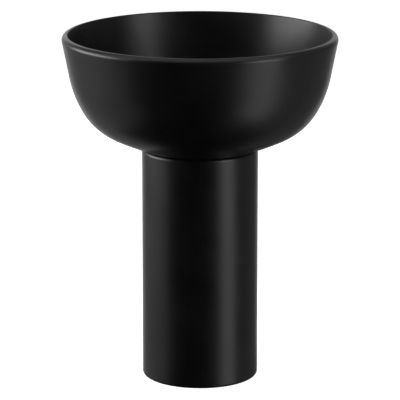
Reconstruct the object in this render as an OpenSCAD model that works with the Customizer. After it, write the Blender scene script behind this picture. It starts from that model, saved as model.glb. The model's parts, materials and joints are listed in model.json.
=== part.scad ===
// Pedestal sink: a round ceramic bowl bolted onto a hollow ceramic column, with a
// push-to-close waste, a bottle trap and a drain pipe hidden inside the column.
// Millimetres. +Z is up, the origin is the centre of the column's foot on the floor,
// the front faces -Y and the service opening faces +Y.

/* [Overall] */
// Height of the rim above the floor
total_h = 800; // [780:1:860]
// Largest radius of the bowl, at its lip
bowl_r = 313.5; // [305:0.5:325]
// Outer radius of the column
column_r = 133; // [131:1:136]
// Height of the joint between column and bowl
joint_z = 538.5; // [530:0.5:550]

/* [Bowl] */
// Thickness of the bowl's wall
bowl_wall = 15; // [13:0.5:16]
// Slope of the underside where it leaves the column, in degrees
heel_slope = 20; // [19:0.5:21]
// Slope where the underside turns into the belly
belly_slope = 25; // [24:0.5:27]
// Slope where the belly turns into the shoulder
shoulder_slope = 60; // [58:1:62]
// Slope of the straight flank below the lip
flank_slope = 79; // [78:0.5:80]
// Radius of the belly's arc
belly_r = 144; // [138:1:148]
// Radius of the shoulder's arc
shoulder_r = 250; // [240:1:258]
// Radius of the lip's rounded outer edge
lip_round = 11; // [8:0.5:12]
// Slope of the bowl's floor at the drain
drain_slope = 5; // [3:0.5:7]

/* [Column] */
// Thickness of the column's wall
column_wall = 15; // [14:0.5:16]
// Radius of the rounded edge at the foot
foot_round = 8; // [5:0.5:10]
// Radius of the rounded edge at the top
crown_round = 8; // [5:0.5:10]
// Radius of the circle of the floor bolts
floor_bolt_circle_r = 101; // [100:0.5:102]
// Radius of the floor bolt holes
floor_bolt_hole_r = 5.5; // [5:0.25:6]

/* [Service opening] */
// Width of the access panel's recess
recess_w = 130; // [124:1:134]
// Height of the access panel's recess
recess_h = 330; // [310:1:334]
// Height of the recess's lower edge above the floor
recess_z = 90; // [88:1:96]
// Width of the shoulder that the panel rests on
shoulder_w = 10; // [9.5:0.5:11]
// Thickness of the steel panel
panel_t = 2; // [1.5:0.25:2.5]

/* [Waste and trap] */
// Outer radius of the waste's threaded tail
tail_r = 20.9; // [20.8:0.05:21]
// Length of the waste's tail below its flange
tail_l = 84; // [82:1:86]
// Distance that the plug is pressed down to close
press_travel = 8; // [7:0.5:8]
// Outer radius of the drain pipe
pipe_r = 16; // [15.5:0.25:16.25]
// Distance of the drain pipe's axis from the column's axis
pipe_x = 90; // [88:1:92]
// Gap between the drain pipe's cut end and the floor
pipe_floor_gap = 2; // [1:0.5:5]

/* [Hidden] */
$fn = 96;
// cuts reach this far past the solids that they cut
over = 1;
// cuts that must keep their slope reach only this far
hair = 0.01;
// radial room of a nut on its thread, and of its lip round a pipe
thread_play = 0.1;
lip_play = 0.3;
// radial room of a washer on its bolt or tail, and of a seal inside its nut
washer_play = 0.4;
seal_play = 0.3;
// distance from a nut's thread to its corners
nut_wall = 6;

// ---- the bowl's outline: three tangent arcs and a straight flank, as radius and height ----
lip_centre = [bowl_r - lip_round, total_h - lip_round];
heel_point = [column_r, joint_z];
// displacement along an arc of radius 1 that turns from slope a to slope b
function turn(a, b) = [sin(b) - sin(a), cos(a) - cos(b)];
// the point of a circle where its tangent has slope a
function on_arc(centre, r, a) = centre + r * [sin(a), -cos(a)];
lip_point = on_arc(lip_centre, lip_round, flank_slope);
flank_dir = [cos(flank_slope), sin(flank_slope)];
heel_turn = turn(heel_slope, belly_slope);
// what the belly and shoulder leave for the heel's arc and the flank to cover
remaining = lip_point - heel_point - belly_r * turn(belly_slope, shoulder_slope)
    - shoulder_r * turn(shoulder_slope, flank_slope);
heel_r = cross(remaining, flank_dir) / cross(heel_turn, flank_dir);
heel_centre = heel_point - heel_r * [sin(heel_slope), -cos(heel_slope)];
belly_centre = on_arc(heel_centre, heel_r - belly_r, belly_slope);
shoulder_centre = on_arc(belly_centre, belly_r - shoulder_r, shoulder_slope);
// the floor's arc continues the inner surface from the heel to the flange recess
flange_recess_r = 34;
flange_recess_depth = 5;
inner_heel = on_arc(heel_centre, heel_r - bowl_wall, heel_slope);
floor_r = (inner_heel.x - flange_recess_r) / (sin(heel_slope) - sin(drain_slope));
floor_centre = inner_heel - floor_r * [sin(heel_slope), -cos(heel_slope)];
floor_edge = on_arc(floor_centre, floor_r, drain_slope);
seat_z = floor_edge.y - flange_recess_depth;
drain_hole_r = 22.5;
drain_boss_r = 46;
drain_boss_t = 14;
drain_boss_z = seat_z - drain_boss_t;

// ---- the foot ring, its gasket and the column's top ledge ----
joint_gap = 0.5;
column_bore_r = column_r - column_wall;
foot_play = 1.5;
foot_outer_r = column_bore_r - foot_play;
foot_inner_r = 92;
foot_depth = 25;
foot_z = joint_z - foot_depth;
gasket_t = 3;
ledge_top_z = foot_z - gasket_t;
ledge_t = 18;
ledge_inner_r = 84;
column_bolt_circle_r = (foot_inner_r + foot_outer_r) / 2;
column_bolt_hole_r = 5;
bolt_r = 4;
bolt_l = 36;
bolt_head_t = 5.3;
bolt_head_corner_r = 7.5;
bolt_washer_t = 1.6;
bolt_washer_r = 10;
insert_r = 6.5;
insert_l = 20;
insert_bore_r = 4.1;

// ---- the column's foot flange and service opening ----
foot_flange_t = 16;
pipe_notch_w = 56;
pipe_notch_inset = 2;
opening_w = recess_w - 2 * shoulder_w;
opening_h = recess_h - 2 * shoulder_w;
opening_z = recess_z + shoulder_w;
recess_play = 0.3;
recess_floor_r = column_r - panel_t - recess_play;
recess_round = 14;
opening_round = 8;
panel_gap = 1.2;
// the back's cuts start at this distance from the axis and reach clear of the wall
back_y = 60;
back_depth = 100;
finger_notch_r = 13;
magnet_r = 4;
magnet_t = 4;
magnet_sink = 0.1;
magnet_x = (opening_w + recess_w) / 4;
magnet_turn = asin(magnet_x / recess_floor_r);
magnet_inset_z = 45;

// ---- the waste ----
flange_seal_t = 1.5;
flange_t = 4;
flange_outer_r = 32.5;
flange_z = seat_z + flange_seal_t;
flange_top_z = flange_z + flange_t;
tail_bore_r = 18;
mouth_r = 24;
mouth_depth = 5;
// radius of the waste's tapered mouth at a depth below its rim
function mouth_at(depth) = mouth_r - (mouth_r - tail_bore_r) * depth / mouth_depth;
tail_z = flange_z - tail_l;
hub_r = 6.5;
hub_bore_r = 4.1;
spoke_t = 2.4;
spoke_root = 0.5;
hub_depth = 38;
hub_z = flange_top_z - hub_depth;
hub_h = 7;
back_washer_t = 3;
slip_washer_t = 1.5;
back_nut_t = 12;
washer_bore_r = tail_r + washer_play;
back_washer_r = 32;
seal_inset = 1;
nut_bore_r = tail_r + thread_play;
nut_corner_r = 32;
inlet_nut_corner_r = 30;

// ---- the push-to-close cartridge and its plug, at rest standing open ----
stem_r = 4;
housing_r = 9;
housing_bore_r = 7.2;
housing_z = hub_z + hub_h;
housing_h = 24;
housing_floor_t = 3;
housing_roof_t = 2;
housing_stem_play = 0.08;
housing_screw_end = 4;
spring_z = housing_z + housing_floor_t;
spring_h = 12;
spring_turns = 4;
spring_wire_r = 0.4;
spring_coil_r = 5.8;
rotor_z = spring_z + spring_h;
rotor_t = 4;
rotor_play = 0.2;
rotor_lugs = 4;
lug_w = 2;
lug_l = 1.4;
collar_z = rotor_z + rotor_t;
collar_t = 2.2;
collar_r = 6.6;
rotor_r = 6;
lug_r = collar_r + rotor_play;
cap_shut_gap = 0.4;
cap_lift = press_travel + cap_shut_gap;
cap_z = flange_top_z + cap_lift;
cap_r = 32;
cap_edge_t = 4;
cap_crown = 3;
cap_boss_r = 7;
cap_boss_h = 6;
stem_thread_l = 5;
plug_seal_play = 0.35;
plug_seal_inner_r = 16;
plug_seal_t = 3.2;

// ---- the bottle trap ----
tube_wall = 1.2;
collar_seat_t = 2;
inlet_nut_lip_t = 8;
inlet_nut_grip = 16;
inlet_flange_z = tail_z - 2 * collar_seat_t;
trap_drop = 54;
trap_top_z = inlet_flange_z - trap_drop;
trap_neck_h = 20;
trap_neck_r = 23;
trap_shoulder_z = trap_top_z - trap_neck_h;
trap_r = 34;
trap_wall = 3;
trap_body_h = 82;
trap_base_z = trap_shoulder_z - trap_body_h;
dip_r = 19;
dip_bore_r = pipe_r + lip_play;
dip_play = 0.2;
dip_l = 147;
cup_h = 66;
cup_collar_h = 20;
cup_collar_r = 38.5;
cup_lap = 15;
cup_play = 0.3;
cup_ribs = 18;
cup_rib_r = 1.6;
seal_t = 2;
inlet_tube_l = 118;
neck_nut_h = 14;
nut_lip_t = 3;
cone_washer_h = 5;
cone_washer_taper = 1.5;
outlet_drop = 32;
outlet_z = trap_shoulder_z - outlet_drop;
outlet_stub_r = 20;
outlet_stub_x = 46;
outlet_nut_grip = 8;

// ---- the outlet bend and the drain pipe ----
bend_r = 36;
bend_start_x = pipe_x - bend_r;
bend_drop_z = outlet_z - bend_r;
socket_r = 20;
socket_play = 0.2;
socket_bore_r = pipe_r + socket_play;
socket_l = 34;
socket_stop = 5;
socket_z = bend_drop_z - socket_l;
bend_nut_z = socket_z - cone_washer_h - nut_lip_t;
bend_nut_h = 20;
pipe_top_gap = 1;
pipe_top_z = bend_drop_z - socket_stop - pipe_top_gap;
stop_bead_drop = 10;
stop_bead_z = bend_nut_z - stop_bead_drop;
stop_bead_w = 1.5;
stop_bead_h = 3;

// ---- shared shapes ----

// the slice between an arc and its chord, from slope a to slope b
module arc_slice(centre, r, a, b) {
    reach = 1.05 * r / cos((b - a) / 2);
    intersection() {
        translate(centre) circle(r, $fn = 720);
        polygon([
            on_arc(centre, r, a),
            on_arc(centre, reach, a),
            on_arc(centre, reach, b),
            on_arc(centre, r, b)]);
    }
}

// a ring standing on z, from its inner and outer radius
module ring(inner, outer, z, h) {
    translate([0, 0, z]) difference() {
        cylinder(r = outer, h = h);
        translate([0, 0, -over]) cylinder(r = inner, h = h + 2 * over);
    }
}

// a hexagonal nut with a bore for the thread and a narrower lip at its foot
module lipped_nut(corner, thread, lip, z, h, lip_t) {
    translate([0, 0, z]) difference() {
        cylinder(r = corner, h = h, $fn = 6);
        translate([0, 0, -over]) cylinder(r = lip, h = h + 2 * over);
        translate([0, 0, lip_t]) cylinder(r = thread, h = h);
    }
}

// a rectangle with round corners, standing on its lower edge
module round_rect(w, h, r) {
    for (x = [-w / 2 + r, w / 2 - r]) for (y = [r, h - r]) translate([x, y]) circle(r);
    translate([-w / 2 + r, 0]) square([w - 2 * r, h]);
    translate([-w / 2, r]) square([w, h - 2 * r]);
}

// four copies round the column's axis, on the diagonals
module on_diagonals(r) {
    for (i = [0:3]) rotate(45 + 90 * i) translate([r, 0, 0]) children();
}

// ---- bowl ----

// the outline up to the lip, filled to the axis
module bowl_outside() {
    polygon([
        [0, joint_z],
        heel_point,
        on_arc(heel_centre, heel_r, belly_slope),
        on_arc(belly_centre, belly_r, shoulder_slope),
        on_arc(shoulder_centre, shoulder_r, flank_slope),
        lip_point,
        [lip_centre.x, total_h],
        [0, total_h]]);
    arc_slice(heel_centre, heel_r, heel_slope, belly_slope);
    arc_slice(belly_centre, belly_r, belly_slope, shoulder_slope);
    arc_slice(shoulder_centre, shoulder_r, shoulder_slope, flank_slope);
    arc_slice(lip_centre, lip_round, flank_slope, 180);
}

// the hollow inside the wall, down to the flange recess
module bowl_inside() {
    inner_flank = on_arc(shoulder_centre, shoulder_r - bowl_wall, flank_slope);
    rise = (total_h + over - inner_flank.y) / sin(flank_slope);
    polygon([
        [0, floor_edge.y],
        floor_edge,
        inner_heel,
        on_arc(heel_centre, heel_r - bowl_wall, belly_slope),
        on_arc(belly_centre, belly_r - bowl_wall, shoulder_slope),
        inner_flank,
        inner_flank + rise * flank_dir,
        [0, total_h + over]]);
    arc_slice(floor_centre, floor_r, drain_slope, heel_slope);
    arc_slice(heel_centre, heel_r - bowl_wall, heel_slope, belly_slope);
    arc_slice(belly_centre, belly_r - bowl_wall, belly_slope, shoulder_slope);
    arc_slice(shoulder_centre, shoulder_r - bowl_wall, shoulder_slope, flank_slope);
}

// the ceramic under the bowl's floor, which hangs inside the column's mouth
module bowl_underfloor() {
    intersection() {
        translate(floor_centre) circle(floor_r + bowl_wall, $fn = 720);
        translate([0, drain_boss_z]) square([foot_outer_r, joint_z - drain_boss_z + over]);
    }
    translate([0, drain_boss_z]) square([drain_boss_r, joint_z - drain_boss_z]);
    translate([foot_inner_r, foot_z])
        square([foot_outer_r - foot_inner_r, joint_z - foot_z + over]);
}

module basin() {
    color("#17181a") difference() {
        rotate_extrude() difference() {
            union() {
                bowl_outside();
                bowl_underfloor();
            }
            bowl_inside();
            translate([0, seat_z]) square([flange_recess_r, total_h]);
            square([drain_hole_r, total_h]);
        }
        on_diagonals(column_bolt_circle_r) translate([0, 0, foot_z - over])
            cylinder(r = insert_r, h = insert_l + over);
    }
}

module basin_inserts() {
    color("goldenrod") on_diagonals(column_bolt_circle_r)
        ring(insert_bore_r, insert_r, foot_z, insert_l);
}

module basin_gasket() {
    color("#333333") difference() {
        ring(foot_inner_r, foot_outer_r, ledge_top_z, gasket_t);
        on_diagonals(column_bolt_circle_r) translate([0, 0, ledge_top_z - over])
            cylinder(r = column_bolt_hole_r, h = gasket_t + 2 * over);
    }
}

// ---- column ----

// the wall, its top ledge and its foot flange, as radius and height
module column_section() {
    top = joint_z - joint_gap;
    translate([column_bore_r, 0]) square([column_wall - foot_round, top - crown_round]);
    translate([column_bore_r, foot_round])
        square([column_wall - crown_round, top - foot_round]);
    translate([column_bore_r, foot_round])
        square([column_wall, top - foot_round - crown_round]);
    translate([column_r - foot_round, foot_round]) circle(foot_round);
    translate([column_r - crown_round, top - crown_round]) circle(crown_round);
    inward = column_bore_r - ledge_inner_r + over;
    translate([ledge_inner_r, ledge_top_z - ledge_t]) square([inward, ledge_t]);
    translate([ledge_inner_r, 0]) square([inward, foot_flange_t]);
}

// an upright plate at the back, cut to the given outline
module behind() {
    translate([0, back_y + back_depth, 0]) rotate([90, 0, 0]) linear_extrude(back_depth)
        children();
}

module magnet_places() {
    for (side = [-1, 1]) for (z = [recess_z + magnet_inset_z, recess_z + recess_h - magnet_inset_z])
        translate([0, 0, z]) rotate([0, 0, 90 - side * magnet_turn]) rotate([0, 90, 0])
            translate([0, 0, recess_floor_r - magnet_t - magnet_sink]) children();
}

module column() {
    color("#17181a") difference() {
        rotate_extrude() column_section();
        behind() translate([0, opening_z]) round_rect(opening_w, opening_h, opening_round);
        difference() {
            behind() translate([0, recess_z]) round_rect(recess_w, recess_h, recess_round);
            cylinder(r = recess_floor_r, h = total_h);
        }
        magnet_places() cylinder(r = magnet_r, h = magnet_t + 2 * over);
        on_diagonals(column_bolt_circle_r) translate([0, 0, ledge_top_z - ledge_t - over])
            cylinder(r = column_bolt_hole_r, h = ledge_t + 2 * over);
        on_diagonals(floor_bolt_circle_r) translate([0, 0, -over])
            cylinder(r = floor_bolt_hole_r, h = foot_flange_t + 2 * over);
        translate([pipe_notch_inset - column_bore_r, -pipe_notch_w / 2, -over])
            cube([column_bore_r - pipe_notch_inset, pipe_notch_w, foot_flange_t + 2 * over]);
    }
}

module column_bolts() {
    head_z = ledge_top_z - ledge_t - bolt_washer_t - bolt_head_t;
    color("silver") on_diagonals(column_bolt_circle_r) translate([0, 0, head_z]) {
        cylinder(r = bolt_head_corner_r, h = bolt_head_t, $fn = 6);
        cylinder(r = bolt_r, h = bolt_head_t + bolt_l);
    }
}

module column_washers() {
    color("silver") on_diagonals(column_bolt_circle_r)
        ring(bolt_r + washer_play, bolt_washer_r, ledge_top_z - ledge_t - bolt_washer_t, bolt_washer_t);
}

module access_panel() {
    z = recess_z + panel_gap;
    w = recess_w - 2 * panel_gap;
    h = recess_h - 2 * panel_gap;
    color("#1c1d1f") intersection() {
        ring(column_r - panel_t, column_r, z, h);
        behind() translate([0, z]) difference() {
            round_rect(w, h, recess_round - panel_gap);
            translate([0, h]) circle(finger_notch_r);
        }
    }
}

module panel_magnets() {
    color("silver") magnet_places() cylinder(r = magnet_r, h = magnet_t);
}

// ---- waste ----

module waste_body() {
    color("#c8cacc") {
        difference() {
            union() {
                translate([0, 0, flange_z]) cylinder(r = flange_outer_r, h = flange_t);
                translate([0, 0, tail_z]) cylinder(r = tail_r, h = tail_l + over);
            }
            translate([0, 0, tail_z - over])
                cylinder(r = tail_bore_r, h = tail_l + flange_t + 2 * over);
            translate([0, 0, flange_top_z - mouth_depth])
                cylinder(r1 = tail_bore_r, r2 = mouth_r, h = mouth_depth + hair);
        }
        difference() {
            union() {
                translate([0, 0, hub_z]) cylinder(r = hub_r, h = hub_h);
                for (i = [0:3]) rotate(90 * i) translate([hub_r - over, -spoke_t / 2, hub_z])
                    cube([tail_bore_r + spoke_root - hub_r + over, spoke_t, hub_h]);
            }
            translate([0, 0, hub_z - over]) cylinder(r = hub_bore_r, h = hub_h + 2 * over);
        }
    }
}

module flange_seal() {
    color("#2b2b2b") ring(drain_hole_r, flange_outer_r - seal_inset, seat_z, flange_seal_t);
}

module back_washer() {
    color("#2b2b2b") ring(washer_bore_r, back_washer_r, drain_boss_z - back_washer_t, back_washer_t);
}

module slip_washer() {
    color("white") ring(washer_bore_r, back_washer_r - seal_inset,
        drain_boss_z - back_washer_t - slip_washer_t, slip_washer_t);
}

module back_nut() {
    color("goldenrod") lipped_nut(nut_corner_r, nut_bore_r, nut_bore_r,
        drain_boss_z - back_washer_t - slip_washer_t - back_nut_t, back_nut_t, 0);
}

// ---- plug and cartridge ----

// a shallow crowned disc with a round edge, and a boss that the stem screws into
module plug_cap() {
    edge_r = cap_edge_t / 2;
    crown_r = (pow(cap_r - edge_r, 2) + pow(cap_crown, 2)) / (2 * cap_crown);
    color("#17181a") translate([0, 0, cap_z]) difference() {
        rotate_extrude() {
            square([cap_r - edge_r, cap_edge_t]);
            translate([cap_r - edge_r, edge_r]) circle(edge_r);
            intersection() {
                translate([0, cap_edge_t + cap_crown - crown_r]) circle(crown_r, $fn = 720);
                translate([0, edge_r]) square([cap_r - edge_r, cap_edge_t + cap_crown]);
            }
            translate([0, -cap_boss_h]) square([cap_boss_r, cap_boss_h + over]);
        }
        translate([0, 0, -cap_boss_h - over]) cylinder(r = stem_r, h = stem_thread_l + over);
    }
}

// a ring tapered like the waste's mouth, which it closes
module plug_seal() {
    color("#2b2b2b") translate([0, 0, cap_z - plug_seal_t]) difference() {
        cylinder(
            r1 = mouth_at(plug_seal_t - cap_shut_gap) - plug_seal_play,
            r2 = mouth_at(-cap_shut_gap) - plug_seal_play,
            h = plug_seal_t);
        translate([0, 0, -over]) cylinder(r = plug_seal_inner_r, h = plug_seal_t + 2 * over);
    }
}

// the stem, from its collar in the housing to its end in the cap's boss
module plunger() {
    top = cap_z - cap_boss_h + stem_thread_l;
    color("goldenrod") {
        translate([0, 0, collar_z]) cylinder(r = collar_r, h = collar_t);
        translate([0, 0, rotor_z]) cylinder(r = stem_r - rotor_play, h = rotor_t + over);
        translate([0, 0, collar_z]) cylinder(r = stem_r, h = top - collar_z);
    }
}

module cartridge_housing() {
    color("gainsboro") {
        difference() {
            translate([0, 0, housing_z]) cylinder(r = housing_r, h = housing_h);
            translate([0, 0, housing_z + housing_floor_t])
                cylinder(r = housing_bore_r, h = housing_h - housing_floor_t - housing_roof_t);
            translate([0, 0, housing_z + housing_h / 2])
                cylinder(r = stem_r + housing_stem_play, h = housing_h);
        }
        translate([0, 0, hub_z - housing_screw_end])
            cylinder(r = stem_r, h = hub_h + housing_screw_end + over);
    }
}

// the turning latch: a ring with lugs that step round the housing's notches
module latch_rotor() {
    color("orange") {
        ring(stem_r, rotor_r, rotor_z, rotor_t);
        for (i = [0:rotor_lugs - 1]) rotate(360 / rotor_lugs * i)
            translate([lug_r - lug_l, -lug_w / 2, rotor_z]) cube([lug_l, lug_w, rotor_t]);
    }
}

// rings of points round the wire, swept along the coil
function wire_ring(turned, z, sides) = [for (k = [0:sides - 1])
    let (a = 360 * k / sides, out = spring_coil_r + spring_wire_r * cos(a))
        [out * cos(turned), out * sin(turned), z + spring_wire_r * sin(a)]];

module plunger_spring() {
    sides = 6;
    steps = 20 * spring_turns;
    low = spring_z + spring_wire_r;
    rise = spring_h - 2 * spring_wire_r;
    points = [for (i = [0:steps]) let (part = i / steps)
        each wire_ring(360 * spring_turns * part, low + rise * part, sides)];
    skin = [for (i = [0:steps - 1]) for (k = [0:sides - 1])
        let (next = (k + 1) % sides)
            [i * sides + k, (i + 1) * sides + k, (i + 1) * sides + next, i * sides + next]];
    start = [for (k = [0:sides - 1]) k];
    finish = [for (k = [sides - 1:-1:0]) steps * sides + k];
    color("silver") polyhedron(points, concat([start], skin, [finish]), convexity = 10);
}

// ---- bottle trap ----

module inlet_nut() {
    h = inlet_nut_lip_t + 2 * collar_seat_t + inlet_nut_grip;
    color("#d5d6d4") lipped_nut(inlet_nut_corner_r, nut_bore_r, pipe_r + lip_play,
        inlet_flange_z - inlet_nut_lip_t, h, inlet_nut_lip_t);
}

module inlet_washer() {
    color("#2b2b2b") ring(pipe_r, tail_r - seal_play, tail_z - collar_seat_t, collar_seat_t);
}

// a flanged tube that hangs from the waste's tail and slides into the dip tube
module inlet_tube() {
    color("#e6e6e2") difference() {
        union() {
            translate([0, 0, inlet_flange_z]) cylinder(r = tail_r - seal_play, h = collar_seat_t);
            translate([0, 0, tail_z - inlet_tube_l])
                cylinder(r = pipe_r, h = inlet_tube_l - collar_seat_t);
        }
        translate([0, 0, tail_z - inlet_tube_l - over])
            cylinder(r = pipe_r - tube_wall, h = inlet_tube_l + 2 * over);
    }
}

module body_nut() {
    top = trap_top_z + seal_t + cone_washer_h + nut_lip_t;
    color("#d5d6d4") translate([0, 0, top]) mirror([0, 0, 1])
        lipped_nut(trap_neck_r + nut_wall, trap_neck_r + thread_play, pipe_r + lip_play,
            0, neck_nut_h, nut_lip_t);
}

// a seal that is squeezed round the pipe by its nut, with a tapered outside
module cone_washer(outer) {
    difference() {
        cylinder(r1 = outer - cone_washer_taper, r2 = outer, h = cone_washer_h);
        translate([0, 0, -over]) cylinder(r = pipe_r, h = cone_washer_h + 2 * over);
    }
}

module body_washer() {
    color("#2b2b2b") translate([0, 0, trap_top_z + seal_t]) cone_washer(trap_neck_r - seal_play);
}

// an open tube with a flange that rests on the trap's neck
module dip_tube() {
    color("#e6e6e2") difference() {
        union() {
            translate([0, 0, trap_top_z]) cylinder(r = trap_neck_r - seal_play, h = seal_t);
            translate([0, 0, trap_top_z - dip_l]) cylinder(r = dip_r, h = dip_l + over);
        }
        translate([0, 0, trap_top_z - dip_l - over])
            cylinder(r = dip_bore_r, h = dip_l + seal_t + 2 * over);
    }
}

module trap_body() {
    color("#e6e6e2") difference() {
        union() {
            translate([0, 0, trap_base_z]) cylinder(r = trap_r, h = trap_body_h);
            translate([0, 0, trap_shoulder_z - over])
                cylinder(r = trap_neck_r, h = trap_neck_h + over);
            on_outlet(0) cylinder(r = outlet_stub_r, h = outlet_stub_x);
        }
        translate([0, 0, trap_base_z - over])
            cylinder(r = trap_r - trap_wall, h = trap_body_h - trap_wall + over);
        translate([0, 0, trap_base_z])
            cylinder(r = dip_r + dip_play, h = trap_body_h + trap_neck_h + over);
        on_outlet(trap_r / 2) cylinder(r = socket_bore_r, h = outlet_stub_x);
    }
}

module cup_seal() {
    color("#2b2b2b") ring(trap_r - trap_wall, trap_r - seal_play, trap_base_z - seal_t, seal_t);
}

// the bottle's screw-off cup, with a ribbed grip round its collar
module trap_cup() {
    top = trap_base_z + cup_lap;
    floor_z = trap_base_z - seal_t - cup_h;
    color("#d5d6d4") difference() {
        union() {
            translate([0, 0, floor_z]) cylinder(r = trap_r, h = cup_h + over);
            translate([0, 0, top - cup_collar_h]) cylinder(r = cup_collar_r, h = cup_collar_h);
            for (i = [0:cup_ribs - 1]) rotate(360 / cup_ribs * i)
                translate([cup_collar_r, 0, top - cup_collar_h])
                    cylinder(r = cup_rib_r, h = cup_collar_h);
        }
        translate([0, 0, floor_z + trap_wall]) cylinder(r = trap_r - trap_wall, h = cup_h);
        translate([0, 0, trap_base_z - seal_t]) cylinder(r = trap_r + cup_play, h = cup_lap + cup_h);
    }
}

// ---- outlet ----

// puts children on the trap's outlet axis, with +Z pointing out of the trap
module on_outlet(x) {
    translate([-x, 0, outlet_z]) rotate([0, -90, 0]) children();
}

module outlet_nut() {
    h = outlet_nut_grip + cone_washer_h + nut_lip_t;
    color("#d5d6d4") on_outlet(outlet_stub_x - outlet_nut_grip + h) mirror([0, 0, 1])
        lipped_nut(outlet_stub_r + nut_wall, outlet_stub_r + thread_play, pipe_r + lip_play,
            0, h, nut_lip_t);
}

module outlet_washer() {
    color("#2b2b2b") on_outlet(outlet_stub_x) cone_washer(outlet_stub_r - seal_play);
}

// a swept right-angle bend with a plain spigot into the trap and a socket facing down
module outlet_bend() {
    color("#e6e6e2") {
        on_outlet(trap_r) ring(pipe_r - tube_wall, pipe_r, 0, bend_start_x - trap_r);
        translate([-bend_start_x, 0, bend_drop_z]) rotate([90, 0, 0]) rotate(90)
            rotate_extrude(angle = 90) translate([bend_r, 0]) difference() {
                circle(pipe_r);
                circle(pipe_r - tube_wall);
            }
        translate([-pipe_x, 0, 0]) difference() {
            translate([0, 0, socket_z]) cylinder(r = socket_r, h = socket_l);
            translate([0, 0, socket_z - over]) cylinder(r = socket_bore_r, h = socket_l - socket_stop + over);
            translate([0, 0, socket_z]) cylinder(r = pipe_r - tube_wall, h = socket_l + over);
        }
    }
}

module bend_nut() {
    color("#d5d6d4") translate([-pipe_x, 0, 0]) lipped_nut(socket_r + nut_wall,
        socket_r + thread_play, pipe_r + lip_play, bend_nut_z, bend_nut_h, nut_lip_t);
}

module bend_washer() {
    color("#2b2b2b") translate([-pipe_x, 0, socket_z]) mirror([0, 0, 1])
        cone_washer(socket_r - seal_play);
}

// the straight pipe down to the floor drain, with a bead that stops it in the bend
module floor_pipe() {
    color("#e6e6e2") translate([-pipe_x, 0, 0]) difference() {
        union() {
            translate([0, 0, pipe_floor_gap])
                cylinder(r = pipe_r, h = pipe_top_z - pipe_floor_gap);
            translate([0, 0, stop_bead_z]) cylinder(r = pipe_r + stop_bead_w, h = stop_bead_h);
        }
        cylinder(r = pipe_r - tube_wall, h = total_h);
    }
}

basin();
basin_inserts();
basin_gasket();
column();
column_bolts();
column_washers();
waste_body();
flange_seal();
back_washer();
slip_washer();
back_nut();
plug_cap();
plug_seal();
plunger();
cartridge_housing();
latch_rotor();
plunger_spring();
inlet_nut();
inlet_washer();
inlet_tube();
body_nut();
body_washer();
dip_tube();
trap_body();
cup_seal();
trap_cup();
outlet_nut();
outlet_washer();
outlet_bend();
bend_nut();
bend_washer();
floor_pipe();
access_panel();
panel_magnets();
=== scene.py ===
"""Looks of the pedestal sink: materials, finished pieces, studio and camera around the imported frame."""
import json
import math

import bmesh
import bpy
from mathutils import Matrix, Vector


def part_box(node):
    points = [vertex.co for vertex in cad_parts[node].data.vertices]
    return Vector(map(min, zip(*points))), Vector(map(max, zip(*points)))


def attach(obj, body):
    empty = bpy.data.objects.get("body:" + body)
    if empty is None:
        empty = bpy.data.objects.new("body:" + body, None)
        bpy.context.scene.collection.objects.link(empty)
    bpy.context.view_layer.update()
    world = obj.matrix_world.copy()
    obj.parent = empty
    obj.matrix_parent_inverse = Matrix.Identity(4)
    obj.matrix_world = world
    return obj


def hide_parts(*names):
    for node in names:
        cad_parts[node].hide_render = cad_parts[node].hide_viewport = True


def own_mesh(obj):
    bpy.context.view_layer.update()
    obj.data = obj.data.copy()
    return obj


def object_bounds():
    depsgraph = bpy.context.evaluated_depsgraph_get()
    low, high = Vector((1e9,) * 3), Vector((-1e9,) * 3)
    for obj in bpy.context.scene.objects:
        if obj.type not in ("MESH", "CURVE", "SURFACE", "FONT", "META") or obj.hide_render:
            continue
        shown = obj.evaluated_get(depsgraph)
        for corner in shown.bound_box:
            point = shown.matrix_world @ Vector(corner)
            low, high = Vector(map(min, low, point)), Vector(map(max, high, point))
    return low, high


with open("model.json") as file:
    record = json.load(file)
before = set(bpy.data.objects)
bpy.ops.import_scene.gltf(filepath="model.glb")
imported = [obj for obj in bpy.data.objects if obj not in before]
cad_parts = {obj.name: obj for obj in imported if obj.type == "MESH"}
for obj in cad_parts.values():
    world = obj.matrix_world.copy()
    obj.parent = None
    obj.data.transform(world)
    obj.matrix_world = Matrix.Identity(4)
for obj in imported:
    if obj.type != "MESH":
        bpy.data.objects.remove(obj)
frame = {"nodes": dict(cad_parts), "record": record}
cad_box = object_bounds()

MM = 0.001

# how finely shapes, edge wear and the glaze's painted edge highlight are worked out
ARC_STEP = 400 * MM
STRAIGHT_STEP = 8 * MM
BOWL_SEGMENTS = 256
TAIL_SEGMENTS = 96
HUB_SEGMENTS = 48
SHARP_ANGLE = 35.0
EDGE_WEAR_AND_HIGHLIGHT_SAMPLES = 6


# ---------------------------------------------------------------- node helpers

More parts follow.
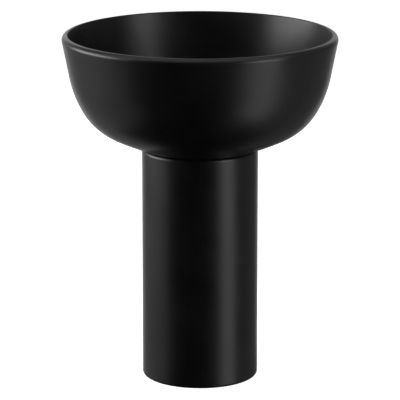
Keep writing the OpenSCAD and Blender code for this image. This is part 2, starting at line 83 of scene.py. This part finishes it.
class Look:
    """A Principled material and short ways to hang textures on it, in metres in the frame."""

    def __init__(self, name, colour, roughness, metallic=0.0):
        self.material = bpy.data.materials.new(name)
        self.material.use_nodes = True
        self.tree = self.material.node_tree
        self.shader = self.tree.nodes["Principled BSDF"]
        self.shader.inputs["Base Color"].default_value = (*colour, 1.0)
        self.shader.inputs["Roughness"].default_value = roughness
        self.shader.inputs["Metallic"].default_value = metallic
        self.coords = self.tree.nodes.new("ShaderNodeTexCoord").outputs["Object"]

    def set(self, socket, value):
        self.shader.inputs[socket].default_value = value

    def link(self, source, target):
        self.tree.links.new(source, target)

    def noise(self, size_m, detail=3.0):
        """Noise whose blobs are about size_m across."""
        node = self.tree.nodes.new("ShaderNodeTexNoise")
        node.inputs["Scale"].default_value = 1.0 / size_m
        node.inputs["Detail"].default_value = detail
        self.link(self.coords, node.inputs["Vector"])
        return node.outputs["Fac"]

    def rings(self, size_m):
        """Turning marks: uneven bands square to the upright axis."""
        node = self.tree.nodes.new("ShaderNodeTexWave")
        node.wave_type = "BANDS"
        node.bands_direction = "Z"
        node.inputs["Scale"].default_value = 1.0 / (size_m * 10)
        node.inputs["Distortion"].default_value = 1.5
        node.inputs["Detail"].default_value = 2.0
        self.link(self.coords, node.inputs["Vector"])
        return node.outputs["Fac"]

    def remap(self, fac, low, high, from_low=0.3, from_high=0.7):
        """A factor stretched from its usual span to low..high."""
        node = self.tree.nodes.new("ShaderNodeMapRange")
        node.inputs["From Min"].default_value = from_low
        node.inputs["From Max"].default_value = from_high
        node.inputs["To Min"].default_value = low
        node.inputs["To Max"].default_value = high
        self.link(fac, node.inputs["Value"])
        return node.outputs["Result"]

    def blend(self, fac, first, second):
        """A colour between two, by a factor. Either may be a socket."""
        node = self.tree.nodes.new("ShaderNodeMix")
        node.data_type = "RGBA"
        sockets = [s for s in node.inputs if s.type == "RGBA"]
        for value, socket in zip((first, second), sockets):
            if isinstance(value, tuple):
                socket.default_value = (*value, 1.0)
            else:
                self.link(value, socket)
        self.link(fac, node.inputs[0])
        return [s for s in node.outputs if s.type == "RGBA"][0]

    def colour(self, socket):
        self.link(socket, self.shader.inputs["Base Color"])

    def rough(self, socket):
        self.link(socket, self.shader.inputs["Roughness"])

    def bump(self, fac, height_m, strength=1.0, under=None):
        """Relief of height_m. Bumps stack: under is the normal of the bump below."""
        node = self.tree.nodes.new("ShaderNodeBump")
        node.inputs["Strength"].default_value = strength
        node.inputs["Distance"].default_value = height_m
        self.link(fac, node.inputs["Height"])
        if under is not None:
            self.link(under, node.inputs["Normal"])
        self.link(node.outputs["Normal"], self.shader.inputs["Normal"])
        return node.outputs["Normal"]

    def edge_wear_and_highlight(self, reach_m):
        """Patchy 1 along edges, where a normal rounded over reach_m leaves the true one, 0 elsewhere. It
        masks edge wear, and in the glaze a painted edge highlight.
        """
        rounded_normal = self.tree.nodes.new("ShaderNodeBevel")
        rounded_normal.samples = EDGE_WEAR_AND_HIGHLIGHT_SAMPLES
        rounded_normal.inputs["Radius"].default_value = reach_m
        geometry = self.tree.nodes.new("ShaderNodeNewGeometry")
        match = self.tree.nodes.new("ShaderNodeVectorMath")
        match.operation = "DOT_PRODUCT"
        self.link(rounded_normal.outputs["Normal"], match.inputs[0])
        self.link(geometry.outputs["Normal"], match.inputs[1])
        edge = self.remap(match.outputs["Value"], 1.0, 0.0, from_low=0.88, from_high=0.995)
        patches = self.remap(self.noise(size_m=6 * reach_m), 0.35, 1.0)
        both = self.tree.nodes.new("ShaderNodeMath")
        both.operation = "MULTIPLY"
        self.link(edge, both.inputs[0])
        self.link(patches, both.inputs[1])
        return both.outputs["Value"]


# ------------------------------------------------------------------- materials

def satin_glaze():
    """Matte black glaze: a near-black body colour under a satin skin with a faint eggshell relief."""
    look = Look("satin_black_glaze", (0.006, 0.006, 0.0065), 0.36)
    look.set("IOR", 1.5)
    cloud = look.noise(size_m=0.09, detail=4.0)
    speck = look.noise(size_m=0.0011, detail=2.0)
    tone = look.blend(look.remap(cloud, 0.0, 1.0), (0.0045, 0.0045, 0.0048), (0.0075, 0.0074, 0.0075))
    flecks = look.remap(speck, 0.0, 0.35, from_low=0.6, from_high=0.75)
    speckled = look.blend(flecks, tone, (0.014, 0.014, 0.014))
    # glaze runs thin over edges and shows the lighter body; the lighter edge is also a painted highlight
    # along the lip and other edges
    look.colour(look.blend(look.edge_wear_and_highlight(reach_m=0.0025), speckled, (0.03, 0.029, 0.028)))
    look.rough(look.remap(cloud, 0.33, 0.39))
    skin = look.bump(look.noise(size_m=0.012, detail=2.0), height_m=0.00006, strength=0.35)
    look.bump(speck, height_m=0.00002, strength=0.35, under=skin)
    return look.material


def powder_coat():
    """Black powder-coated metal with a fine orange peel."""
    look = Look("black_powder_coat", (0.009, 0.009, 0.0095), 0.4)
    peel = look.noise(size_m=0.0016, detail=2.0)
    cloud = look.remap(look.noise(size_m=0.05), 0.0, 1.0)
    tone = look.blend(cloud, (0.006, 0.006, 0.0065), (0.011, 0.011, 0.0115))
    look.colour(look.blend(look.edge_wear_and_highlight(reach_m=0.0012), tone, (0.045, 0.044, 0.043)))
    look.rough(look.remap(peel, 0.36, 0.44))
    look.bump(peel, height_m=0.00004, strength=0.5)
    return look.material


def metal(name, dark, light, roughness, marks_m=0.0006, edge_m=0.0006):
    """Turned or drawn metal: two tones, turning marks, burnished edges and smears in the gloss."""
    look = Look(name, light, roughness, metallic=1.0)
    smear = look.noise(size_m=0.02, detail=5.0)
    tone = look.blend(look.remap(smear, 0.0, 1.0), dark, light)
    burnished = tuple(min(1.0, 1.12 * channel) for channel in light)
    look.colour(look.blend(look.edge_wear_and_highlight(edge_m), tone, burnished))
    look.rough(look.remap(smear, roughness * 0.75, roughness * 1.35))
    look.bump(look.rings(marks_m), height_m=0.00001, strength=0.25)
    return look.material


def rubber():
    """Black rubber, dull, with a dusty bloom in patches."""
    look = Look("black_rubber", (0.02, 0.02, 0.02), 0.75)
    bloom = look.noise(size_m=0.008, detail=5.0)
    dust = look.remap(bloom, 0.0, 1.0, from_low=0.45, from_high=0.7)
    look.colour(look.blend(dust, (0.016, 0.016, 0.016), (0.045, 0.044, 0.042)))
    look.rough(look.remap(bloom, 0.65, 0.85))
    look.bump(look.noise(size_m=0.0007), height_m=0.00005, strength=0.4)
    return look.material


def moulded(name, colour, shade, roughness):
    """Moulded plastic: a slight cloud in the colour and a fine sparked texture."""
    look = Look(name, colour, roughness)
    cloud = look.noise(size_m=0.03, detail=3.0)
    look.colour(look.blend(look.remap(cloud, 0.0, 1.0), shade, colour))
    look.rough(look.remap(look.noise(size_m=0.004), roughness * 0.85, roughness * 1.15))
    look.bump(look.noise(size_m=0.0006, detail=1.0), height_m=0.00003, strength=0.35)
    look.set("Subsurface Weight", 0.05)
    look.set("Subsurface Radius", (0.002, 0.002, 0.0015))
    return look.material


MATERIALS = {
    "black_glaze": satin_glaze(),
    "black_metal": powder_coat(),
    "brass": metal("turned_brass", (0.56, 0.38, 0.15), (0.78, 0.58, 0.3), 0.28),
    "chrome": metal("chromed_brass", (0.7, 0.71, 0.73), (0.82, 0.83, 0.85), 0.09, marks_m=0.002),
    "zinc_steel": metal("zinc_plated_steel", (0.42, 0.44, 0.47), (0.62, 0.63, 0.62), 0.33),
    "spring_steel": metal("spring_wire", (0.36, 0.36, 0.37), (0.55, 0.55, 0.56), 0.3, edge_m=0.0001),
    "magnet_nickel": metal("nickel_plate", (0.52, 0.5, 0.46), (0.66, 0.64, 0.6), 0.2),
    "rubber": rubber(),
    "trap_plastic": moulded("white_polypropylene", (0.8, 0.8, 0.77), (0.72, 0.72, 0.69), 0.4),
    "nut_plastic": moulded("grey_polypropylene", (0.62, 0.63, 0.62), (0.54, 0.55, 0.54), 0.42),
    "cartridge_plastic": moulded("ivory_acetal", (0.74, 0.73, 0.68), (0.68, 0.67, 0.62), 0.28),
    "rotor_plastic": moulded("orange_acetal", (0.75, 0.28, 0.05), (0.66, 0.23, 0.04), 0.3),
}


def dress_cad_nodes():
    """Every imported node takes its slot's material."""
    slots = {s["node"]: s["material_slot"] for s in frame["record"]["subparts"]}
    for name, piece in frame["nodes"].items():
        piece.data.materials.clear()
        piece.data.materials.append(MATERIALS[slots[name]])


dress_cad_nodes()


# ------------------------------------------------------------- outlines and lathes

# an outline is a list of (radius, height) points; a slope is the angle of its tangent in degrees

def on_arc(centre, radius, slope):
    """The point of a circle where its tangent has that slope."""
    a = math.radians(slope)
    return (centre[0] + radius * math.sin(a), centre[1] - radius * math.cos(a))


def turn(start, end):
    """Displacement along an arc of radius 1 that turns from one slope to another."""
    a = math.radians(start)
    b = math.radians(end)
    return Vector((math.sin(b) - math.sin(a), math.cos(a) - math.cos(b)))


def arc(centre, radius, start, end, step=2.0):
    """The points of an arc, one about every step degrees."""
    count = max(2, round(abs(end - start) / step))
    return [on_arc(centre, radius, start + (end - start) * i / count) for i in range(count + 1)]


def rounded(before, corner, after, radius, steps=5):
    """The points that round a corner between two straight runs."""
    middle = Vector(corner)
    one = (Vector(before) - middle).normalized()
    two = (Vector(after) - middle).normalized()
    half = one.angle(two) / 2
    centre = middle + (one + two).normalized() * radius / math.sin(half)
    first = middle + one * radius / math.tan(half) - centre
    last = middle + two * radius / math.tan(half) - centre
    points = []
    for i in range(steps + 1):
        part = i / steps
        # both ends lie on the circle, so a blend of them stretched to its radius does too
        spoke = first.lerp(last, part).normalized() * radius
        points.append(tuple(centre + spoke))
    return points


def straight(start, end, step):
    """Points along a straight run, without its ends, so that quads stay near square."""
    run = Vector(end) - Vector(start)
    count = max(1, round(run.length / step))
    return [tuple(Vector(start) + run * i / count) for i in range(1, count)]


def lathe(name, outline, segments, offset=None):
    """A closed outline turned round the Z axis. offset(angle, radius, height) moves points in or out."""
    vertices = []
    for i in range(segments):
        angle = 2 * math.pi * i / segments
        for radius, height in outline:
            r = radius + (offset(angle, radius, height) if offset else 0.0)
            vertices.append((r * math.cos(angle), r * math.sin(angle), height))
    faces = []
    count = len(outline)
    for i in range(segments):
        here = i * count
        there = ((i + 1) % segments) * count
        for k in range(count):
            n = (k + 1) % count
            faces.append((here + k, there + k, there + n, here + n))
    return solid(name, vertices, faces)


def solid(name, vertices, faces):
    """A mesh object with smooth faces and sharp corners."""
    mesh = bpy.data.meshes.new(name)
    mesh.from_pydata(vertices, [], faces)
    mesh.shade_smooth()
    mesh.set_sharp_from_angle(angle=math.radians(SHARP_ANGLE))
    piece = bpy.data.objects.new(name, mesh)
    bpy.context.scene.collection.objects.link(piece)
    return piece


def stand_in(piece, node, body, slot):
    """The piece is shown in place of the CAD node, on its body and in its slot's material."""
    piece.data.materials.append(MATERIALS[slot])
    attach(piece, body)
    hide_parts(node)


# ----------------------------------------------------------------------- bowl

BASIN_LOW, BASIN_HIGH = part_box("basin")
COLUMN_LOW, COLUMN_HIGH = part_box("column")
BOWL_R = BASIN_HIGH[0]
RIM_Z = BASIN_HIGH[2]
COLUMN_R = COLUMN_HIGH[0]
JOINT_GAP = 0.5 * MM
JOINT_Z = COLUMN_HIGH[2] + JOINT_GAP
BOWL_WALL = 15 * MM
HEEL_SLOPE = 20
BELLY_SLOPE = 25
SHOULDER_SLOPE = 60
FLANK_SLOPE = 79
BELLY_R = 144 * MM
SHOULDER_R = 250 * MM
LIP_ROUND = 11 * MM
DRAIN_SLOPE = 5
DRAIN_HOLE_R = 22.5 * MM
DRAIN_BOSS_R = 46 * MM
DRAIN_BOSS_T = 14 * MM
FLANGE_RECESS_R = 34 * MM
FLANGE_RECESS_DEPTH = 5 * MM
FOOT_OUTER_R = 116.5 * MM
FOOT_INNER_R = 92 * MM
# glaze pulls back into small rounds on every edge
INNER_LIP_ROUND = 2.0 * MM
RECESS_ROUND = 1.6 * MM
SMALL_ROUND = 0.8 * MM

LIP_CENTRE = (BOWL_R - LIP_ROUND, RIM_Z - LIP_ROUND)
FLANK_DIR = Vector((math.cos(math.radians(FLANK_SLOPE)), math.sin(math.radians(FLANK_SLOPE))))
TO_HEEL = Vector((math.sin(math.radians(HEEL_SLOPE)), -math.cos(math.radians(HEEL_SLOPE))))


def bowl_skin():
    """The outer skin's arcs from heel to flank, each as centre, radius, first and last slope."""
    lip_point = Vector(on_arc(LIP_CENTRE, LIP_ROUND, FLANK_SLOPE))
    heel_point = Vector((COLUMN_R, JOINT_Z))
    # the heel's arc takes the radius that lets belly, shoulder and flank meet the lip
    left = lip_point - heel_point - BELLY_R * turn(BELLY_SLOPE, SHOULDER_SLOPE)
    left -= SHOULDER_R * turn(SHOULDER_SLOPE, FLANK_SLOPE)
    heel_r = left.cross(FLANK_DIR) / turn(HEEL_SLOPE, BELLY_SLOPE).cross(FLANK_DIR)
    heel_centre = heel_point - heel_r * TO_HEEL
    belly_centre = on_arc(heel_centre, heel_r - BELLY_R, BELLY_SLOPE)
    shoulder_centre = on_arc(belly_centre, BELLY_R - SHOULDER_R, SHOULDER_SLOPE)
    return [
        (heel_centre, heel_r, HEEL_SLOPE, BELLY_SLOPE),
        (belly_centre, BELLY_R, BELLY_SLOPE, SHOULDER_SLOPE),
        (shoulder_centre, SHOULDER_R, SHOULDER_SLOPE, FLANK_SLOPE),
    ]


def bowl_wall(skin):
    """The wall up the outside, over the lip and down the inside to the heel."""
    lip_point = Vector(on_arc(LIP_CENTRE, LIP_ROUND, FLANK_SLOPE))
    outer = []
    for centre, radius, start, end in skin:
        outer += arc(centre, radius, start, end, step=ARC_STEP / radius)[:-1]
    flank_foot = on_arc(skin[-1][0], SHOULDER_R, FLANK_SLOPE)
    outer.append(flank_foot)
    outer += straight(flank_foot, lip_point, STRAIGHT_STEP)
    lip = arc(LIP_CENTRE, LIP_ROUND, FLANK_SLOPE, 180, step=9)

    inner = []
    for centre, radius, start, end in reversed(skin):
        inner += arc(centre, radius - BOWL_WALL, end, start, step=ARC_STEP / radius)[:-1]
    inner_flank = Vector(inner[0])
    inner_lip = inner_flank + FLANK_DIR * (RIM_Z - inner_flank.y) / math.sin(math.radians(FLANK_SLOPE))
    edge = rounded(lip[-1], inner_lip, inner_flank, INNER_LIP_ROUND)
    return outer + lip + edge + straight(edge[-1], inner_flank, STRAIGHT_STEP) + inner


def bowl_base(heel_centre, heel_r):
    """The floor down to the flange's recess, the drain hole, the underside and the foot ring."""
    inner_heel = Vector(on_arc(heel_centre, heel_r - BOWL_WALL, HEEL_SLOPE))
    floor_turn = math.sin(math.radians(HEEL_SLOPE)) - math.sin(math.radians(DRAIN_SLOPE))
    floor_r = (inner_heel.x - FLANGE_RECESS_R) / floor_turn
    floor_centre = inner_heel - floor_r * TO_HEEL
    floor = arc(floor_centre, floor_r, HEEL_SLOPE, DRAIN_SLOPE, step=1)
    floor_edge = Vector(floor[-1])
    seat_z = floor_edge.y - FLANGE_RECESS_DEPTH
    recess = rounded(floor[-2], floor_edge, (FLANGE_RECESS_R, seat_z), RECESS_ROUND)
    recess.append((FLANGE_RECESS_R, seat_z))
    hole_top = (DRAIN_HOLE_R, seat_z)
    seat = rounded((FLANGE_RECESS_R, seat_z), hole_top, (DRAIN_HOLE_R, 0), SMALL_ROUND, 3)

    under_r = floor_r + BOWL_WALL

    def under_slope(radius):
        return math.degrees(math.asin((radius - floor_centre.x) / under_r))

    under = arc(floor_centre, under_r, under_slope(DRAIN_BOSS_R), under_slope(FOOT_INNER_R), step=1)
    boss_z = seat_z - DRAIN_BOSS_T
    boss_in = (DRAIN_HOLE_R, boss_z)
    boss_out = (DRAIN_BOSS_R, boss_z)
    boss = rounded(hole_top, boss_in, boss_out, SMALL_ROUND, 3)
    boss += rounded(boss_in, boss_out, under[0], SMALL_ROUND, 3)
    foot_in = (FOOT_INNER_R, BASIN_LOW[2])
    foot_out = (FOOT_OUTER_R, BASIN_LOW[2])
    foot_top = (FOOT_OUTER_R, JOINT_Z)
    foot = rounded(under[-1], foot_in, foot_out, SMALL_ROUND, 3)
    foot += rounded(foot_in, foot_out, foot_top, SMALL_ROUND, 3)
    foot.append(foot_top)
    return floor[:-1] + recess + seat + boss + under + foot


def bowl_outline():
    """The bowl's closed outline."""
    skin = bowl_skin()
    heel_centre, heel_r = skin[0][:2]
    return bowl_wall(skin) + bowl_base(heel_centre, heel_r)


stand_in(lathe("glazed_bowl", bowl_outline(), BOWL_SEGMENTS), "basin", "stand", "black_glaze")


# --------------------------------------------------------------- waste and spring

WASTE_LOW, WASTE_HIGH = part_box("waste_body")
FLANGE_R = WASTE_HIGH[0]
FLANGE_T = 4 * MM
TAIL_R = 20.9 * MM
TAIL_BORE_R = 18 * MM
MOUTH_R = 24 * MM
MOUTH_DEPTH = 5 * MM
# the G 1 1/4 thread
THREAD_PITCH = 2.309 * MM
THREAD_DEPTH = 1.48 * MM
THREAD_ROWS = 8


def waste_outline():
    """Flange with a rolled edge, tapered mouth, bore, and a tail with rows enough for its thread."""
    top = WASTE_HIGH[2]
    under = top - FLANGE_T
    foot = WASTE_LOW[2]
    rows = round((under - foot) / THREAD_PITCH * THREAD_ROWS)
    tail = [(TAIL_R, foot + (under - foot) * i / rows) for i in range(rows + 1)]
    flange_low = rounded((TAIL_R, under), (FLANGE_R, under), (FLANGE_R, top), SMALL_ROUND, 3)
    flange_high = rounded((FLANGE_R, under), (FLANGE_R, top), (MOUTH_R, top), FLANGE_T / 2, 6)
    throat = (TAIL_BORE_R, top - MOUTH_DEPTH)
    mouth = rounded((FLANGE_R, top), (MOUTH_R, top), throat, SMALL_ROUND, 4)
    return tail + flange_low + flange_high + mouth + [throat, (TAIL_BORE_R, foot)]


def thread_groove(angle, radius, height):
    """The helical groove of the tail's thread, which dies out under the flange."""
    under = WASTE_HIGH[2] - FLANGE_T
    if abs(radius - TAIL_R) > SMALL_ROUND or height > under - THREAD_PITCH / 2:
        return 0.0
    wave = 0.5 + 0.5 * math.cos(2 * math.pi * height / THREAD_PITCH - angle)
    fade = min(1.0, (under - height) / (2 * THREAD_PITCH))
    return -THREAD_DEPTH * wave * fade


HUB_R = 6.5 * MM
HUB_BORE_R = 4.1 * MM
HUB_H = 7 * MM
HUB_DEPTH = 38 * MM
SPOKE_T = 2.4 * MM
SPOKES = 4
SPOKE_ROUND = 0.4 * SPOKE_T
HUB_SHARP_ANGLE = 50.0


def waste_hub():
    """The hub that holds the plug's cartridge: a bored boss on four spokes, cast with soft edges."""
    low = WASTE_HIGH[2] - HUB_DEPTH
    high = low + HUB_H
    outline = rounded((HUB_BORE_R, low), (HUB_R, low), (HUB_R, high), SMALL_ROUND, 3)
    outline += rounded((HUB_R, low), (HUB_R, high), (HUB_BORE_R, high), SMALL_ROUND, 3)
    outline += [(HUB_BORE_R, high), (HUB_BORE_R, low)]
    hub = lathe("waste_hub", outline, HUB_SEGMENTS)
    work = bmesh.new()
    work.from_mesh(hub.data)
    for i in range(SPOKES):
        length = TAIL_BORE_R - HUB_R + 2 * SMALL_ROUND
        centre = Vector(((TAIL_BORE_R + HUB_R) / 2, 0, (low + high) / 2))
        spoke = bmesh.ops.create_cube(work, size=1.0)["verts"]
        bmesh.ops.scale(work, vec=(length, SPOKE_T, HUB_H), verts=spoke)
        bmesh.ops.translate(work, vec=centre, verts=spoke)
        turned = Matrix.Rotation(2 * math.pi * i / SPOKES, 3, "Z")
        bmesh.ops.rotate(work, cent=(0, 0, 0), matrix=turned, verts=spoke)
        edges = list({edge for corner in spoke for edge in corner.link_edges})
        bmesh.ops.bevel(work, geom=edges, offset=SPOKE_ROUND, segments=3, affect="EDGES", profile=0.5)
    work.to_mesh(hub.data)
    work.free()
    hub.data.shade_smooth()
    hub.data.set_sharp_from_angle(angle=math.radians(HUB_SHARP_ANGLE))
    return hub


SPRING_LOW, SPRING_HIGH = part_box("plunger_spring")
WIRE_R = 0.4 * MM
SPRING_TURNS = 6
WIRE_SIDES = 12
STEPS_PER_TURN = 40
# wires of a closed turn lie this far apart, a hair over their thickness
CLOSED_PITCH = 2.1 * WIRE_R


def spring_height(turns_done):
    """Height of the wire's centre: one closed turn at each end and an even pitch between them."""
    low = SPRING_LOW[2] + WIRE_R
    high = SPRING_HIGH[2] - WIRE_R
    pitch = (high - low - 2 * CLOSED_PITCH) / (SPRING_TURNS - 2)
    if turns_done < 1:
        return low + CLOSED_PITCH * turns_done
    if turns_done > SPRING_TURNS - 1:
        return high - CLOSED_PITCH * (SPRING_TURNS - turns_done)
    return low + CLOSED_PITCH + pitch * (turns_done - 1)


def spring():
    """The plunger's coil spring, swept as one closed tube."""
    coil_r = SPRING_HIGH[0] - WIRE_R
    count = SPRING_TURNS * STEPS_PER_TURN
    vertices = []
    for i in range(count + 1):
        turned = 2 * math.pi * i / STEPS_PER_TURN
        height = spring_height(i / STEPS_PER_TURN)
        for k in range(WIRE_SIDES):
            a = 2 * math.pi * k / WIRE_SIDES
            out = coil_r + WIRE_R * math.cos(a)
            up = height + WIRE_R * math.sin(a)
            vertices.append((out * math.cos(turned), out * math.sin(turned), up))
    faces = [tuple(range(WIRE_SIDES))]
    for i in range(count):
        for k in range(WIRE_SIDES):
            n = (k + 1) % WIRE_SIDES
            here = i * WIRE_SIDES
            there = here + WIRE_SIDES
            faces.append((here + k, there + k, there + n, here + n))
    faces.append(tuple(reversed(range(count * WIRE_SIDES, (count + 1) * WIRE_SIDES))))
    return solid("coil_spring", vertices, faces)


def fit_waste_and_spring():
    """The waste with its hub, and the plug's coil spring."""
    waste = lathe("threaded_waste", waste_outline(), TAIL_SEGMENTS, offset=thread_groove)
    stand_in(waste, "waste_body", "stand", "chrome")
    hub = waste_hub()
    hub.data.materials.append(MATERIALS["chrome"])
    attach(hub, "stand")
    coil = spring()
    stand_in(coil, "plunger_spring", "stand", "spring_steel")
    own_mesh(coil)


fit_waste_and_spring()


USUAL_EDGE_ROUND = 0.4 * MM
EDGE_ROUND = {"column": 1.0 * MM, "access_panel": 0.5 * MM, "trap_cup": 0.5 * MM}
# edges sharper than this many degrees are rounded
EDGE_ANGLE = 40.0


def soften_edges():
    """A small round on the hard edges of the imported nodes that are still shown."""
    for name, piece in frame["nodes"].items():
        if piece.hide_render:
            continue
        bevel = piece.modifiers.new("edge_round", "BEVEL")
        bevel.width = EDGE_ROUND.get(name, USUAL_EDGE_ROUND)
        bevel.segments = 2
        bevel.limit_method = "ANGLE"
        bevel.angle_limit = math.radians(EDGE_ANGLE)


soften_edges()


# ---------------------------------------------------------------- studio

OBJECT_HEIGHT = cad_box[1][2] - cad_box[0][2]
FLOOR_REACH = 40.0
FAINT_AMBIENT = 0.01
LAMP_DISTANCE = 3.0
LAMP_AIM = Vector((0.0, 0.0, 0.56 * OBJECT_HEIGHT))
SENSOR_WIDTH_MM = 36.0
LENS_MM = 250.8
CAMERA_DISTANCE = 8.0 * OBJECT_HEIGHT
CAMERA_AIM = Vector((0.0, 0.0, 0.516 * OBJECT_HEIGHT))
CAMERA_ELEVATION = math.radians(13.7)


def floor():
    """A wide white floor. It is seen by the camera, but stays out of the glaze's reflections."""
    mesh = bpy.data.meshes.new("studio_floor")
    reach = FLOOR_REACH
    corners = [(-reach, -reach, 0), (reach, -reach, 0), (reach, reach, 0), (-reach, reach, 0)]
    mesh.from_pydata(corners, [], [(0, 1, 2, 3)])
    piece = bpy.data.objects.new("studio_floor", mesh)
    bpy.context.scene.collection.objects.link(piece)
    look = Look("studio_white", (0.9, 0.9, 0.9), 0.9)
    look.set("Emission Color", (1.0, 1.0, 1.0, 1.0))
    look.set("Emission Strength", 1.0)
    mesh.materials.append(look.material)
    piece.visible_glossy = False
    piece.visible_diffuse = False
    piece.visible_shadow = False


def panel(name, azimuth, elevation, width_deg, height_deg, radiance):
    """A soft light panel of an angular width and height, as the object sees it.

    Angles are in degrees. Azimuth is counted from the camera's side, positive to its right, and
    the width is an angle of azimuth, so a panel high up gets narrower."""
    a = math.radians(azimuth)
    e = math.radians(elevation)
    width = 2 * LAMP_DISTANCE * math.tan(math.radians(width_deg / 2)) * math.cos(e)
    height = 2 * LAMP_DISTANCE * math.tan(math.radians(height_deg / 2))
    data = bpy.data.lights.new(name, "AREA")
    data.shape = "RECTANGLE"
    data.size = width
    data.size_y = height
    # the power that gives a panel this radiance
    data.energy = radiance * math.pi * width * height
    lamp = bpy.data.objects.new(name, data)
    bpy.context.scene.collection.objects.link(lamp)
    away = Vector((math.sin(a) * math.cos(e), -math.cos(a) * math.cos(e), math.sin(e)))
    lamp.location = LAMP_AIM + away * LAMP_DISTANCE
    lamp.rotation_euler = away.to_track_quat("Z", "Y").to_euler()
    lamp.visible_camera = False


def studio():
    """White surroundings that only the camera sees, and soft panels that leave the front dark."""
    world = bpy.data.worlds.new("studio")
    world.use_nodes = True
    tree = world.node_tree
    ambient = tree.nodes["Background"]
    ambient.inputs["Strength"].default_value = FAINT_AMBIENT
    backdrop = tree.nodes.new("ShaderNodeBackground")
    backdrop.inputs["Color"].default_value = (1.0, 1.0, 1.0, 1.0)
    path = tree.nodes.new("ShaderNodeLightPath")
    mix = tree.nodes.new("ShaderNodeMixShader")
    tree.links.new(path.outputs["Is Camera Ray"], mix.inputs["Fac"])
    tree.links.new(ambient.outputs["Background"], mix.inputs[1])
    tree.links.new(backdrop.outputs["Background"], mix.inputs[2])
    tree.links.new(mix.outputs["Shader"], tree.nodes["World Output"].inputs["Surface"])
    bpy.context.scene.world = world
    panel("left_softbox", -95, 12, 50, 25, 5.4)
    panel("left_floor_bounce", -95, -25, 60, 45, 0.36)
    panel("left_ceiling", -80, 42, 50, 30, 0.95)
    panel("left_wall", -150, 0, 45, 110, 0.32)
    panel("right_strip", 52, 10, 20, 30, 3.9)
    panel("right_floor_bounce", 57, -25, 30, 40, 1.35)
    panel("right_ceiling", 68, 40, 24, 30, 1.2)
    panel("right_wall", 125, 0, 80, 120, 0.16)
    panel("back_wall", 180, 5, 60, 60, 0.8)
    panel("top_softbox", 0, 80, 150, 60, 0.7)


def camera():
    """The camera's distance and height follow from the object's height; its lens is fixed."""
    data = bpy.data.cameras.new("camera")
    data.sensor_width = SENSOR_WIDTH_MM
    data.lens = LENS_MM
    eye = bpy.data.objects.new("camera", data)
    bpy.context.scene.collection.objects.link(eye)
    back = Vector((0.0, -math.cos(CAMERA_ELEVATION), math.sin(CAMERA_ELEVATION)))
    eye.location = CAMERA_AIM + CAMERA_DISTANCE * back
    eye.rotation_euler = (eye.location - CAMERA_AIM).to_track_quat("Z", "Y").to_euler()
    bpy.context.scene.camera = eye


floor()
studio()
camera()
bpy.context.scene.view_settings.view_transform = "Standard"
